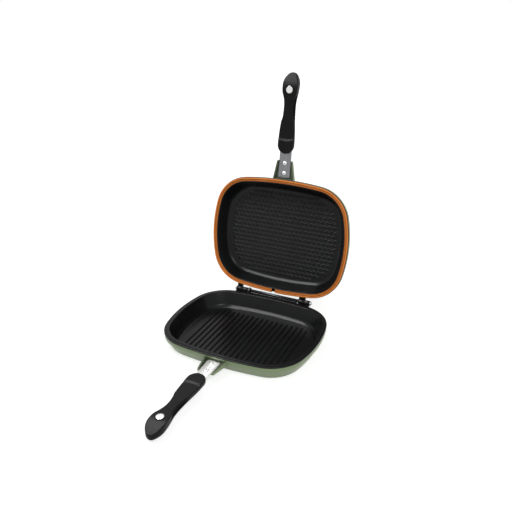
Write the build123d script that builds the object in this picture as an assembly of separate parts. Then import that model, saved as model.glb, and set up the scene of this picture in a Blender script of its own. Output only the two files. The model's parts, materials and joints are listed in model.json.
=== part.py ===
from build123d import *
import os
from math import atan2, cos, hypot, radians, sin, sqrt, tan

# Double sided flip pan: two cast halves with a common outline, joined by a long
# hinge pin at the back, each with a screwed steel stay and a moulded grip at the front.
# Millimetres. Origin: centre of the lower half's base, on the surface it stands on.
# +X runs along the hinge, +Y towards the hinge, +Z up. The lid is modelled open.

# --- outline of a half, four tangent arcs on each side of it ---------------------------
half_width = 160.0
half_depth = 127.3
front_arc_radius = 710.0
side_arc_radius = 274.0
corner_arc_radius = 77.0

# --- section of a casting, measured down from its rim ----------------------------------
casting_depth = 35.0
band_height = 10.5
band_draft = 2.0
wall_step = 2.2
wall_draft = 25.0
base_round = 12.0
base_thickness = 4.0
rim_width = 11.0
inner_draft = 22.0
inner_round = 12.0
round_flats = 2

# --- how the two halves meet --------------------------------------------------------------
rim_gap = 3.0
lid_open_angle = 100.5
raised_band_height = 0.9
raised_band_inset = 5.4
rim_notch_width = 3.4
seal_channel_start = 1.2
seal_channel_end = 9.0
seal_channel_depth = 2.5
seal_clearance = 0.1
seal_lip_gap = 0.4
seal_lip_width = 3.0
seal_strip_rise = 0.4
vent_half_width = 4.8
vent_reach = 9.8
vent_depth = 7.0

# --- cooking faces ------------------------------------------------------------------------
rib_pitch = 11.6
rib_count = 19
rib_half_length = 80.0
rib_base_width = 5.0
rib_height = 2.5
ridge_pitch = 9.47
ridge_count = 20
ridge_base_width = 3.4
ridge_height = 1.4
rib_draft = 20.0
ridge_draft = 30.0
pattern_margin = 3.0
sink = 0.3
overcut = 1.0

# --- hinge ----------------------------------------------------------------------------------
hinge_offset = 6.0
knuckle_radius = 5.5
pin_radius = 2.5
running_clearance = 0.05
inner_knuckle_start = 62.0
inner_knuckle_length = 14.4
knuckle_gap = 0.6
outer_knuckle_length = 12.0
stop_gap = 0.2
stop_height = 5.5
stop_drop = 1.6
pin_head_radius = 4.2
pin_head_height = 2.2
pin_slot_width = 1.2
pin_slot_depth = 1.0
pin_tail = 2.0
washer_radius = 4.6
washer_thickness = 0.8
side_clearance = 0.3
clip_radius = 4.6
clip_thickness = 0.8
clip_mouth = 4.0
tube_radius = 3.75
collar_radius = 6.5
collar_hub_radius = 4.5
collar_hub_length = 2.4
collar_flange_length = 4.3

# --- stay and its bracket ---------------------------------------------------------------------
stay_half_width = 13.0
stay_thickness = 2.5
stay_root_gap = 2.0
stay_length = 106.0
stay_corner = 3.0
stay_side_gap = 0.3
bracket_floor = 4.0
bracket_reach = 39.0
bracket_root_half_width = 23.5
bracket_tip_half_width = 17.2
ear_thickness = 3.9
ear_root_drop = 4.4
ear_tip_drop = 6.0
bracket_tip_rise = 2.4
first_screw = 12.5
screw_spacing = 21.2
screw_head_radius = 4.0
screw_crown_radius = 2.9
screw_head_height = 1.6
screw_radius = 2.0
screw_depth = 3.0

# --- grip --------------------------------------------------------------------------------------
grip_start = 53.7
grip_length = 165.0
grip_shoulder_half_width = 17.9
grip_waist = 96.0
grip_waist_half_width = 13.5
grip_head_half_width = 16.9
grip_head_reach = 25.0
grip_tip_radius = 11.5
hood_top = -1.8
face_drop = 1.9
back_chamfer = 6.5
grip_back = -18.9
back_rise = 4.8
tip_top = -13.5
tip_back = -27.8
hood_reach = 26.0
hood_arc_radius = 60.0
hood_slope = 4.5
hood_draft = 20.0
scoop_centre = 93.0
scoop_half_length = 24.0
scoop_face_half_width = 10.9
scoop_depth = 7.4
pocket_clearance = 0.1
grip_screw_place = 22.0
grip_screw_head_radius = 3.6
grip_screw_head_height = 2.4
grip_screw_seat_depth = 7.0
magnet_from_tip = 35.0
magnet_face_drop = 2.4
magnet_proud = 1.2
cup_radius = 8.2
cup_wall = 1.1
cup_height = 6.0
magnet_sink = 0.2

# --- values that follow from the sizes above ---------------------------------------------------
hinge_y = half_depth + hinge_offset
parting_z = rim_gap / 2
back_y = -half_depth
wall_inset = band_height * tan(radians(band_draft)) + wall_step
stay_top = -band_height + stay_thickness
seal_lip = rim_gap - seal_lip_gap
grip_face = hood_top - face_drop
magnet_face = parting_z - magnet_face_drop
outer_knuckle_start = inner_knuckle_start + inner_knuckle_length + knuckle_gap
outer_knuckle_end = outer_knuckle_start + outer_knuckle_length
cooking_floor = -(casting_depth - base_thickness)
draft_inset = band_height * tan(radians(band_draft))
foot_align = (Align.CENTER, Align.CENTER, Align.MIN)
top_align = (Align.CENTER, Align.CENTER, Align.MAX)


def unit(x, y):
    length = hypot(x, y)
    return x / length, y / length


def corner_centre():
    """Centre of the corner arc that touches the front arc and the side arc."""
    front_y = half_depth - front_arc_radius
    side_x = half_width - side_arc_radius
    front_reach = front_arc_radius - corner_arc_radius
    side_reach = side_arc_radius - corner_arc_radius
    gap = hypot(side_x, front_y)
    ux, uy = side_x / gap, -front_y / gap
    along = (front_reach**2 - side_reach**2 + gap**2) / (2 * gap)
    across = sqrt(front_reach**2 - along**2)
    return along * ux + across * uy, front_y + along * uy - across * ux


def outline(inset, z):
    """Face bounded by the half's outline moved inwards by inset, at height z."""
    cx, cy = corner_centre()
    front_ux, front_uy = unit(cx, cy - (half_depth - front_arc_radius))
    side_ux, side_uy = unit(cx - (half_width - side_arc_radius), cy)
    mid_ux, mid_uy = unit(front_ux + side_ux, front_uy + side_uy)
    radius = corner_arc_radius - inset
    front = (cx + radius * front_ux, cy + radius * front_uy)
    side = (cx + radius * side_ux, cy + radius * side_uy)
    middle = (cx + radius * mid_ux, cy + radius * mid_uy)
    edges = []
    for sx, sy in ((1, 1), (-1, 1), (-1, -1), (1, -1)):
        corner = [(sx * x, sy * y, z) for x, y in (side, middle, front)]
        if sx * sy < 0:
            corner.reverse()
        edges.append(ThreePointArc(*corner))
        if sx * sy > 0:
            middle_point = (0, sy * (half_depth - inset), z)
            end = (-corner[2][0], corner[2][1], z)
        else:
            middle_point = (sx * (half_width - inset), 0, z)
            end = (corner[2][0], -corner[2][1], z)
        edges.append(ThreePointArc(corner[2], middle_point, end))
    return make_face(edges)


def stack(levels):
    """Solid through outlines at (inset, height) levels, with straight sides between them."""
    return loft([outline(inset, z) for inset, z in levels], ruled=True)


def rounded_foot(sharp_inset, z, radius, draft):
    """Levels round the foot of a drafted wall, from the flat at height z up to the wall."""
    turn = radians(90 - draft)
    flat_inset = sharp_inset + radius * tan(turn / 2)
    angles = [turn * i / round_flats for i in range(round_flats + 1)]
    return [(flat_inset - radius * sin(a), z + radius * (1 - cos(a))) for a in angles]


def ring(inset_outer, inset_inner, z_low, z_high):
    """Straight-walled band that follows the rim."""
    tall = z_high - z_low
    outer = extrude(outline(inset_outer, z_low), tall)
    inner = extrude(outline(inset_inner, z_low), tall)
    return outer - inner


def outline_half_width(inset, y):
    """Half-width of the outline moved inwards by inset, at depth y."""
    cx, cy = corner_centre()
    radius = corner_arc_radius - inset
    side_x = half_width - side_arc_radius
    side_ux, side_uy = unit(cx - side_x, cy)
    if abs(y) <= cy + radius * side_uy:
        return side_x + sqrt((side_arc_radius - inset)**2 - y**2)
    return cx + sqrt(max(radius**2 - (abs(y) - cy)**2, 0.0))


def outline_half_depth(inset, x):
    """Half-depth of the outline moved inwards by inset, at width x."""
    cx, cy = corner_centre()
    radius = corner_arc_radius - inset
    front_y = half_depth - front_arc_radius
    front_ux, front_uy = unit(cx, cy - front_y)
    if abs(x) <= cx + radius * front_ux:
        return front_y + sqrt((front_arc_radius - inset)**2 - x**2)
    return cy + sqrt(max(radius**2 - (abs(x) - cx)**2, 0.0))


# ----------------------------------------------------------------------------- castings
# Each half is drawn in its own frame: rim plane at z = 0, body below it.

def bowl():
    """Outer body of a half: rim band, step, tapered wall and rounded base edge."""
    base_inset = wall_inset + (casting_depth - band_height) * tan(radians(wall_draft))
    foot = rounded_foot(base_inset, -casting_depth, base_round, wall_draft)
    return stack(foot + [(wall_inset, -band_height)]) + stack([(draft_inset, -band_height), (0, 0)])


def cavity():
    """Space inside a half, down to the cooking face."""
    foot = rounded_foot(floor_inset_sharp(), cooking_floor, inner_round, inner_draft)
    return stack(foot + [(rim_width, raised_band_height)])


def floor_inset_sharp():
    """Inset at which the inner wall would meet the cooking face without its rounding."""
    return rim_width + (raised_band_height - cooking_floor) * tan(radians(inner_draft))


def floor_inset_flat():
    """Inset at which the cooking face stops being flat."""
    return floor_inset_sharp() + inner_round * tan(radians((90 - inner_draft) / 2))


def x_cylinder(radius, x_start, x_end):
    """Cylinder on the hinge axis of a half."""
    middle = Pos((x_start + x_end) / 2, hinge_y, parting_z)
    return middle * Rot(0, 90, 0) * Cylinder(radius, x_end - x_start)


def pin_bore(x_start, x_end):
    """Cutter for the hinge pin's bore, run past both ends of a stretch."""
    return x_cylinder(pin_radius + running_clearance, x_start - overcut, x_end + overcut)


def yz_prism(points, x_start, x_end):
    """Straight prism with a profile in the Y-Z plane."""
    face = make_face(Polyline(*[(x_start, y, z) for y, z in points], close=True))
    return extrude(face, x_end - x_start, dir=(1, 0, 0))


def knuckle(x_start, x_end):
    """Round knuckle with the arm that carries it on the rear band."""
    root_y = half_depth - rim_width
    arm = yz_prism([(root_y, 0), (root_y, -band_height), (half_depth - wall_inset, -band_height),
                    (hinge_y, parting_z - knuckle_radius), (hinge_y, 0)], x_start, x_end)
    arm -= cavity()
    return arm + x_cylinder(knuckle_radius, x_start, x_end)


def knuckle_spans():
    """The two stretches of the hinge axis that belong to one half."""
    inner = (-inner_knuckle_start - inner_knuckle_length, -inner_knuckle_start)
    outer = (outer_knuckle_start, outer_knuckle_end)
    return inner, outer


def bracket():
    """Channel at the front that holds the stay: a floor and two tapering ears."""
    root_y = back_y + rim_width
    tip_y = back_y - bracket_reach
    plan = make_face(Polyline(
        (-bracket_root_half_width, root_y), (bracket_root_half_width, root_y),
        (bracket_root_half_width, back_y), (bracket_tip_half_width, tip_y),
        (-bracket_tip_half_width, tip_y), (-bracket_root_half_width, back_y), close=True))
    low = -band_height - bracket_floor
    block = extrude(Pos(0, 0, low) * plan, -low)
    tips = block.edges().filter_by(Axis.Z).group_by(Axis.Y)[0]
    block = chamfer(tips, ear_thickness / 2)
    profile = yz_prism([(root_y, -ear_root_drop), (root_y, low), (back_y, low),
                        (tip_y, low + bracket_tip_rise), (tip_y, -ear_tip_drop),
                        (back_y, -ear_root_drop)],
                       -bracket_root_half_width, bracket_root_half_width)
    block &= profile
    inner_root = bracket_root_half_width - ear_thickness - stay_side_gap
    inner_tip = stay_half_width + stay_side_gap
    channel = make_face(Polyline(
        (-inner_root, back_y), (inner_root, back_y), (inner_tip, tip_y), (inner_tip, tip_y - overcut),
        (-inner_tip, tip_y - overcut), (-inner_tip, tip_y), close=True))
    return block - extrude(Pos(0, 0, -band_height) * channel, band_height)


def screw_places():
    """Distances of the stay screws in front of the rim."""
    return first_screw, first_screw + screw_spacing


def half_casting():
    """One casting before its cooking face and rim are finished."""
    body = bowl() + bracket()
    for x_start, x_end in knuckle_spans():
        body += knuckle(x_start, x_end)
    body -= cavity()
    body -= pin_bore(-outer_knuckle_end, outer_knuckle_end)
    hole = Cylinder(screw_radius + running_clearance, screw_depth, align=top_align)
    for place in screw_places():
        body -= Pos(0, back_y - place, -band_height) * hole
    return body


def ribs():
    """Straight ribs from front to back, with drafted sides and ends."""
    first = -(rib_count - 1) / 2 * rib_pitch
    bars = []
    for i in range(rib_count):
        x = first + i * rib_pitch
        reach = outline_half_depth(floor_inset_flat() + pattern_margin, abs(x) + rib_base_width / 2)
        plan = Rectangle(rib_base_width, 2 * min(rib_half_length, reach))
        bars.append(Pos(x, 0, cooking_floor - sink) * extrude(plan, rib_height + sink, taper=rib_draft))
    return bars


def ridges():
    """Low ridges from side to side, with drafted sides."""
    first = -(ridge_count - 1) / 2 * ridge_pitch
    bars = []
    for i in range(ridge_count):
        y = first + i * ridge_pitch
        reach = outline_half_width(floor_inset_flat() + pattern_margin, abs(y) + ridge_base_width / 2)
        plan = Rectangle(2 * reach, ridge_base_width)
        bars.append(Pos(0, y, cooking_floor - sink) * extrude(plan, ridge_height + sink, taper=ridge_draft))
    return bars


def pan_casting():
    """Lower half: straight ribs, and a raised band that backs the seal."""
    band = ring(raised_band_inset, rim_width, 0, raised_band_height) - cavity()
    notch = Box(rim_notch_width, rim_width, rim_width, align=foot_align)
    band -= Pos(0, half_depth - raised_band_inset, 0) * notch
    return half_casting() + band + ribs()


def vent_cutter(clearance):
    """Steam vent through the lid's rear rim: a slot with a round inner end."""
    width = 2 * (vent_half_width - clearance)
    end_y = half_depth - vent_reach + vent_half_width
    slot = Pos(0, end_y) * Circle(width / 2)
    slot += Pos(0, end_y) * Rectangle(width, 2 * vent_reach, align=(Align.CENTER, Align.MIN))
    return slot


def lid_casting_closed():
    """Upper half in its own frame: low ridges, seal channel and steam vent."""
    body = half_casting()
    body -= ring(seal_channel_start, seal_channel_end, -seal_channel_depth, overcut)
    body -= extrude(Pos(0, 0, -vent_depth) * vent_cutter(0), 2 * vent_depth)
    return body + ridges()


def lid_seal():
    """Moulded seal: a strip in the channel with a tall lip along its outer edge."""
    start = seal_channel_start + seal_clearance
    end = seal_channel_end - seal_clearance
    low = -seal_channel_depth
    body = ring(start, end, low, seal_strip_rise) + ring(start, start + seal_lip_width, low, seal_lip)
    gap = vent_cutter(-seal_clearance)
    return body - extrude(Pos(0, 0, 2 * low) * gap, 2 * band_height)


# ----------------------------------------------------------------------------- handle

def stay():
    """Flat steel bar, screwed into the bracket and buried in the grip."""
    plan = chamfer(Rectangle(2 * stay_half_width, stay_length).vertices(), stay_corner)
    root_y = back_y - stay_root_gap
    body = Pos(0, root_y - stay_length / 2, -band_height) * extrude(plan, stay_thickness)
    hole = Cylinder(screw_radius + running_clearance, 4 * stay_thickness)
    for place in (*screw_places(), grip_start + grip_screw_place):
        body -= Pos(0, back_y - place, stay_top) * hole
    return body


def stay_screws():
    """Two crowned screws that hold the stay in its bracket."""
    head = Cone(screw_head_radius, screw_crown_radius, screw_head_height, align=foot_align)
    length = stay_thickness + screw_depth - running_clearance
    screw = head + Cylinder(screw_radius, length, align=top_align)
    return [Pos(0, back_y - place, stay_top) * screw for place in screw_places()]


def grip_y(distance):
    """Position of a station of the grip, counted from its end nearest the pan."""
    return back_y - grip_start - distance


def magnet_y():
    """Position of the catch magnet, counted from the grip's tip."""
    return grip_y(grip_length - magnet_from_tip)


def tip_corner():
    """Point where the long side arc of the grip's oval head meets its tip arc."""
    rise = grip_head_reach - grip_tip_radius
    narrowing = grip_head_half_width - grip_tip_radius
    side_radius = (rise**2 + grip_head_half_width**2 - grip_tip_radius**2) / (2 * narrowing)
    angle = atan2(rise, side_radius - grip_head_half_width)
    return grip_tip_radius * cos(angle), grip_y(grip_length - grip_tip_radius * (1 - sin(angle)))


def grip_plan():
    """Outline seen square to the inner face: round end, waist and oval head."""
    shoulder = (grip_shoulder_half_width, grip_y(grip_shoulder_half_width))
    waist = (grip_waist_half_width, grip_y(grip_waist))
    head = (grip_head_half_width, grip_y(grip_length - grip_head_reach))
    edges = [TangentArc((0, grip_y(0)), shoulder, tangent=(1, 0))]
    for start, end in ((shoulder, waist), (waist, head)):
        middle = ((start[0] + end[0]) / 2, (start[1] + end[1]) / 2)
        edges.append(TangentArc(start, middle, tangent=(0, -1)))
        edges.append(TangentArc(middle, end, tangent=edges[-1] % 1))
    edges.append(TangentArc(head, tip_corner(), tangent=(0, -1)))
    edges.append(TangentArc(tip_corner(), (0, grip_y(grip_length)), tangent=edges[-1] % 1))
    return make_face(edges + [mirror(edge, Plane.YZ) for edge in edges])


def grip_profile():
    """Side view: flat inner face and back, and a tip that curves away from the hand."""
    start, end = grip_y(-overcut), grip_y(grip_length + overcut)
    seat = (magnet_y(), magnet_face - magnet_proud)
    face = Polyline((start, grip_face), (grip_y(grip_waist), grip_face), seat)
    tip = TangentArc(seat, (end, tip_top), tangent=(-1, 0))
    back = Polyline((end, tip_top), (end, tip_back), (grip_y(grip_waist), grip_back),
                    (start, grip_back + back_rise), (start, grip_face))
    return make_face([Plane.YZ * edge for edge in (face, tip, back)])


def grip_hood():
    """Raised hood over the stay, ending in a curved slope towards the hand."""
    low = grip_face - sink
    block = extrude(Pos(0, 0, low) * grip_plan(), hood_top - low, taper=hood_draft)
    cone = Cone(hood_arc_radius - hood_slope, hood_arc_radius + hood_slope, 2 * face_drop)
    block -= Pos(0, grip_y(hood_reach + hood_arc_radius), grip_face) * cone
    beyond = Box(grip_length, grip_length, grip_length, align=(Align.CENTER, Align.MAX, Align.CENTER))
    return block - Pos(0, grip_y(hood_reach + 2 * hood_slope), grip_face) * beyond


def scoop(side):
    """Hollow in one flank of the waist, open towards the inner face."""
    narrowing = grip_waist_half_width - scoop_face_half_width
    radius = (scoop_half_length**2 + narrowing**2) / (2 * narrowing)
    cutter = Cylinder(radius, 2 * scoop_depth, align=foot_align)
    place = Pos(side * (scoop_face_half_width + radius), grip_y(scoop_centre), grip_face - scoop_depth)
    return place * cutter


def grip():
    """Moulded grip with its hood, flank hollows, stay pocket, screw bore and magnet seat."""
    plan = extrude(Pos(0, 0, -grip_length / 2) * grip_plan(), grip_length)
    side = extrude(Pos(-grip_length / 2, 0, 0) * grip_profile(), grip_length, dir=(1, 0, 0))
    body = plan & side
    backs = [face for face in body.faces() if face.normal_at().Z < -0.5]
    back_rim = [edge for face in backs for edge in face.edges() if abs(edge.center().X) > sink]
    body = chamfer(back_rim, back_chamfer)
    body = body - scoop(1) - scoop(-1) + grip_hood()
    pocket_end = back_y - stay_root_gap - stay_length - pocket_clearance
    pocket = Box(2 * (stay_half_width + pocket_clearance), grip_y(-overcut) - pocket_end,
                 stay_thickness + 2 * pocket_clearance, align=(Align.CENTER, Align.MIN, Align.MAX))
    body -= Pos(0, pocket_end, stay_top + pocket_clearance) * pocket
    body -= Pos(0, grip_y(grip_screw_place), 0) * grip_screw_bore()
    seat = Cylinder(cup_radius + running_clearance, 4 * cup_height, align=foot_align)
    return body - Pos(0, magnet_y(), magnet_face - cup_height) * seat


def grip_screw_seat():
    """Height of the face that the grip screw's head bears on."""
    return grip_back + grip_screw_seat_depth


def grip_screw_bore():
    """Bore through the back of the grip for its screw, with a counterbore."""
    seat = grip_screw_seat()
    shank = Cylinder(screw_radius + running_clearance, stay_top - seat, align=foot_align)
    head = Cylinder(grip_screw_head_radius + pocket_clearance, -seat, align=top_align)
    return Pos(0, 0, seat) * (shank + head)


def grip_screw():
    """Screw that fastens the back of the grip to the stay."""
    seat = grip_screw_seat()
    head = Cylinder(grip_screw_head_radius, grip_screw_head_height, align=top_align)
    shank = Cylinder(screw_radius, stay_top - seat, align=foot_align)
    return Pos(0, grip_y(grip_screw_place), seat) * (head + shank)


def magnet_cup():
    """Steel cup that holds the catch magnet."""
    cup = Cylinder(cup_radius, cup_height, align=top_align)
    cup -= Cylinder(cup_radius - cup_wall, cup_height - cup_wall, align=top_align)
    return Pos(0, magnet_y(), magnet_face) * cup


def magnet():
    """Disc magnet, seated in its cup just below the cup's lip."""
    thick = cup_height - cup_wall - magnet_sink
    disc = Cylinder(cup_radius - cup_wall - running_clearance, thick, align=top_align)
    return Pos(0, magnet_y(), magnet_face - magnet_sink) * disc


# ----------------------------------------------------------------------------- hinge

def left_washer_span():
    high = -outer_knuckle_end - side_clearance
    return high - washer_thickness, high


def right_washer_span():
    return outer_knuckle_end, outer_knuckle_end + washer_thickness


def clip_span():
    high = left_washer_span()[0] - running_clearance
    return high - clip_thickness, high


def hinge_pin():
    """Long pin with a slotted head at the right."""
    head_start = right_washer_span()[1]
    head_end = head_start + pin_head_height
    body = x_cylinder(pin_radius, clip_span()[0] - pin_tail, head_start)
    body += x_cylinder(pin_head_radius, head_start, head_end)
    slot = Box(2 * pin_slot_depth, 3 * pin_head_radius, pin_slot_width)
    return body - Pos(head_end, hinge_y, parting_z) * slot


def pin_clip():
    """Open spring clip pushed on the left end of the pin."""
    low, high = clip_span()
    disc = x_cylinder(clip_radius, low, high)
    disc -= pin_bore(low, high)
    mouth = Box(2 * clip_thickness, clip_mouth, 2 * clip_radius, align=top_align)
    return disc - Pos((low + high) / 2, hinge_y, parting_z) * mouth


def washers():
    """A washer at each end of the pin."""
    spans = (left_washer_span(), right_washer_span())
    return [x_cylinder(washer_radius, low, high) - pin_bore(low, high) for low, high in spans]


def collar_span():
    low = -inner_knuckle_start
    return low, low + collar_hub_length + collar_flange_length


def collar():
    """Shouldered plastic collar beside the left inner knuckle."""
    low, high = collar_span()
    hub = x_cylinder(collar_hub_radius, low, low + collar_hub_length)
    flange = x_cylinder(collar_radius, low + collar_hub_length, high)
    return hub + flange - pin_bore(low, high)


def spacer_tube():
    """Polished tube over the pin between the collar and the lid's inner knuckle."""
    low = collar_span()[1]
    high = inner_knuckle_start - side_clearance
    return x_cylinder(tube_radius, low, high) - pin_bore(low, high)


# ----------------------------------------------------------------------------- assembly

pan_place = Pos(0, 0, casting_depth)
axis_z = casting_depth + parting_z
lid_swing = Pos(0, hinge_y, axis_z) * Rot(-lid_open_angle, 0, 0) * Pos(0, -hinge_y, -axis_z)
lid_place = lid_swing * Pos(0, 0, casting_depth + rim_gap) * Rot(0, 180, 0)


def stop_lug(x_start, x_end):
    """Lug under a lid knuckle that meets the lower half's rear band when open."""
    high = axis_z - stop_drop
    low = high - stop_height
    root_y = half_depth - rim_width
    lug = yz_prism([(root_y, high), (root_y, low), (hinge_y - stop_drop, low),
                    (hinge_y + stop_drop, axis_z - knuckle_radius), (hinge_y + stop_drop, high)],
                   x_start, x_end)
    wall = pan_place * stack([(draft_inset - stop_gap, -band_height), (-stop_gap, 0)])
    return lug - wall - pan_place * pin_bore(x_start, x_end)


def lid_casting():
    body = lid_place * lid_casting_closed()
    for low, high in knuckle_spans():
        body += stop_lug(-high, -low)
    return body


nodes = {
    "pan_casting": pan_place * pan_casting(),
    "lid_casting": lid_casting(),
    "lid_seal": lid_place * lid_seal(),
    "hinge_pin": pan_place * hinge_pin(),
    "hinge_pin_clip": pan_place * pin_clip(),
    "hinge_washers": [pan_place * washer for washer in washers()],
    "hinge_collar": pan_place * collar(),
    "hinge_spacer_tube": pan_place * spacer_tube(),
}

for half, place in (("pan", pan_place), ("lid", lid_place)):
    nodes[half + "_stay"] = place * stay()
    nodes[half + "_stay_screws"] = [place * screw for screw in stay_screws()]
    nodes[half + "_grip"] = place * grip()
    nodes[half + "_grip_screw"] = place * grip_screw()
    nodes[half + "_magnet_cup"] = place * magnet_cup()
    nodes[half + "_magnet"] = place * magnet()

os.makedirs("parts", exist_ok=True)
for name, shape in nodes.items():
    export_step(Compound(children=shape) if isinstance(shape, list) else shape, f"parts/{name}.step")
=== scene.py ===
"""Double sided flip pan: two coated castings, silicone seal, pin hinge, steel stays and moulded grips."""
import json
from math import asin, atan2, cos, hypot, pi, radians, sin, sqrt, tan

import bpy
from mathutils import Matrix, Vector

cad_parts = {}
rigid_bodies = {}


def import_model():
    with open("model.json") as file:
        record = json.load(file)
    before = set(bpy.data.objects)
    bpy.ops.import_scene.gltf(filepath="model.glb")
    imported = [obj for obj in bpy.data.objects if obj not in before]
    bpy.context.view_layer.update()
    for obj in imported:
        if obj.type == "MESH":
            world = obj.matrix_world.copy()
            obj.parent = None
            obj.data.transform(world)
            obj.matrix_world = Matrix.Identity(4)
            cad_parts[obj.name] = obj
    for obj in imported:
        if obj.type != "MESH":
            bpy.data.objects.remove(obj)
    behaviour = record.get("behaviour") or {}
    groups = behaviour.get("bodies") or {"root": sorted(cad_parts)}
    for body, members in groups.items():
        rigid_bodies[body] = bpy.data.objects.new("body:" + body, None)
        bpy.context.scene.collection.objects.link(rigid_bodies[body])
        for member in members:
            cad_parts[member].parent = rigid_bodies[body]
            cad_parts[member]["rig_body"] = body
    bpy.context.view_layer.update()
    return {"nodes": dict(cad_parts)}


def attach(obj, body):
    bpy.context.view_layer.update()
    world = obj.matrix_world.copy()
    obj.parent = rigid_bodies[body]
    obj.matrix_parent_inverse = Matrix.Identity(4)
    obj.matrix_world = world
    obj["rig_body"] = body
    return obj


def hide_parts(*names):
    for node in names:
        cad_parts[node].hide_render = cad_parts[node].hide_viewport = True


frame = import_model()

MM = 0.001

# ------------------------------------------------------------------ sizes, in millimetres
# A casting is drawn in its half's own frame: rim plane at height 0, cooking face below it.
# Outline of a half: four tangent arcs on each side of it.
HALF_WIDTH = 159.95
HALF_DEPTH = 127.3
FRONT_ARC = 710.0
SIDE_ARC = 274.0
CORNER_ARC = 77.0
ARC_STEPS = (8, 24, 8)

# Section of a casting.
DEPTH = 35.0
RIM_GAP = 3.0
OPEN_ANGLE = 100.5
BAND = 10.5
BAND_LEAN = 0.35
WALL_INSET = 2.6
WALL_DRAFT = 25.0
BASE_ROUND = 12.0
FLOOR = -31.0
RIM_WIDTH = 11.0
RIM_ROUND = 0.8
INNER_DRAFT = 22.0
INNER_ROUND = 12.0
RAISED_BAND = 0.9
COAT_EDGE = 2.2
COAT_LEAN = 0.05
BAND_ROUND = 0.5
SHOULDER_ROUND = 0.6
CENTRE_INSET = 60.0

# Seal and its channel. The seal's ridge, grooves and strip are measured from the foot of its lip.
CHANNEL = (1.2, 9.0, -2.5)
SEAL = (1.35, 8.85)
SEAL_LIP_WIDTH = 3.0
SEAL_LIP = 2.6
SEAL_STRIP = 0.4
SEAL_RIDGE = 0.9
SEAL_GROOVE = 0.6
SEAL_GROOVES = ((0.1, 1.1), (2.7, 3.4))
SEAL_RIDGE_SPAN = (1.25, 2.55)
SEAL_STRIP_START = 3.5
SEAL_LIP_ROUND = 0.5
SEAL_RIDGE_ROUND = 0.25
SEAL_STRIP_ROUNDS = (0.15, 0.4)
SEAL_VENT_GAP = 0.1

# Steam vent of the lid and notch in the pan's raised band behind it.
VENT_HALF_WIDTH = 4.8
VENT_REACH = 9.8
VENT_DEPTH = 7.0
VENT_STEPS = 16
NOTCH = (3.4, 14.0, 5.0)
NOTCH_INSET = 1.9
NOTCH_FLOOR = 0.1

# Cooking faces.
RIB_PITCH = 11.6
RIB_COUNT = 19
RIB_BASE = 5.0
RIB_TOP = 3.0
RIB_HEIGHT = 2.5
RIB_REACH = 80.0
RIB_EDGE = 0.8
WAVE_PITCH = 9.47
WAVE_COUNT = 20
WAVE_LENGTH = 10.58
WAVE_SWING = 3.4
WAVE_BASE = 5.4
WAVE_TOP = 0.9
WAVE_HEIGHT = 1.2
WAVE_EDGE = 0.25
WAVE_STEPS = 10
PATTERN_MARGIN = 3.0
SINK = 0.3

# Hinge: knuckles and the arms that carry them, stop lugs, and the ledge below the tube.
HINGE_Y = 133.3
PARTING = RIM_GAP / 2
KNUCKLE_RADIUS = 5.5
KNUCKLE_ROOT = 6.0
KNUCKLE_EDGE = 0.5
KNUCKLE_STEPS = 26
ARM_FOOT = 0.3
ARM_SHELF = -3.0
ARM_TOP = -0.05
ARM_SINK = 0.9
PIN_BORE = 2.55
BORE_LENGTH = 40.0
BORE_STEPS = 40
INNER_KNUCKLE = (62.0, 76.4)
OUTER_KNUCKLE = (77.0, 89.0)
STOP_TOP = -0.1
STOP_LOW = -5.6
STOP_GAP = 0.2
STOP_REACH = 1.6
STOP_COVER = 0.6
STOP_EDGE = 0.5
LEDGE_REACH = 60.5
LEDGE_BACK = 129.8
LEDGE_TOP = -0.6
LEDGE_LOW = -5.5
LEDGE_SINK = 3.0
LEDGE_EDGE = 0.4
LEDGE_STEPS = 24

# Bracket, stay and stay screws.
BRACKET_SINK = 7.0
BRACKET_REACH = 39.0
BRACKET_ROOT = 23.5
BRACKET_TIP = 17.2
BRACKET_LOW = -14.5
BRACKET_TIP_LOW = -12.1
BRACKET_EDGE = 0.6
CHANNEL_SKIN = 0.15
# Painted shade goes on faces that look up or back by at least this much, and on those that look at the stay.
SHADE_UP = 0.6
SHADE_BACK = 0.9
SHADE_INWARD = 0.01
EAR = 3.9
EAR_TIP_ROUND = 0.45
EAR_LEVEL = 1.0
EAR_ROOT_TOP = -4.4
EAR_TIP_TOP = -6.0
STAY_HALF_WIDTH = 13.0
STAY_SIDE_GAP = 0.3
STAY_TOP = -8.0
STAY_EDGE = 0.35
BOLT_EDGE = 0.3
SCREW_PLACES = (12.5, 33.7)
SCREW_RADIUS = 4.0
SCREW_HEIGHT = 1.6
SCREW_SINK = 0.5
SCREW_RIM = (0.55, 0.2)
SCREW_CROWN = (1.1, 0.92, 0.8)
SCREW_FLAT = (2.6, 3.2)
RECESS = (3.4, 1.0, 1.8)
RECESS_TURN = pi / 5

# Grip: distances run from its end nearest the pan, heights from the rim plane.
GRIP_START = 53.7
GRIP_LENGTH = 165.0
SHOULDER = 17.9
WAIST_PLACE = 96.0
WAIST = 13.5
HEAD = 16.9
HEAD_REACH = 25.0
TIP_RADIUS = 11.5
HOOD_TOP = -1.8
GRIP_FACE = -3.7
GRIP_BACK = -18.9
BACK_RISE = 4.8
BACK_CROWN = 0.6
TIP_TOP = -13.5
TIP_OVERRUN = 1.0
TIP_BACK = -27.7
HOOD_REACH = 26.0
HOOD_ARC = 60.0
HOOD_SLOPE = 4.5
SCOOP_PLACE = 93.0
SCOOP_HALF = 24.0
SCOOP_WIDTH = 9.7
SCOOP_DEPTH = 7.4
SCOOP_FILLET = 1.2
FILLET_BULGE = 0.3
FACE_ROUND = 1.4
BACK_ROUND = 10.0
END_ROUND = 8.0
# A round takes at most these shares of the width and of the height at its place.
FACE_ROUND_SHARES = (0.8, 0.3)
BACK_ROUND_SHARES = (0.9, 0.6)
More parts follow.
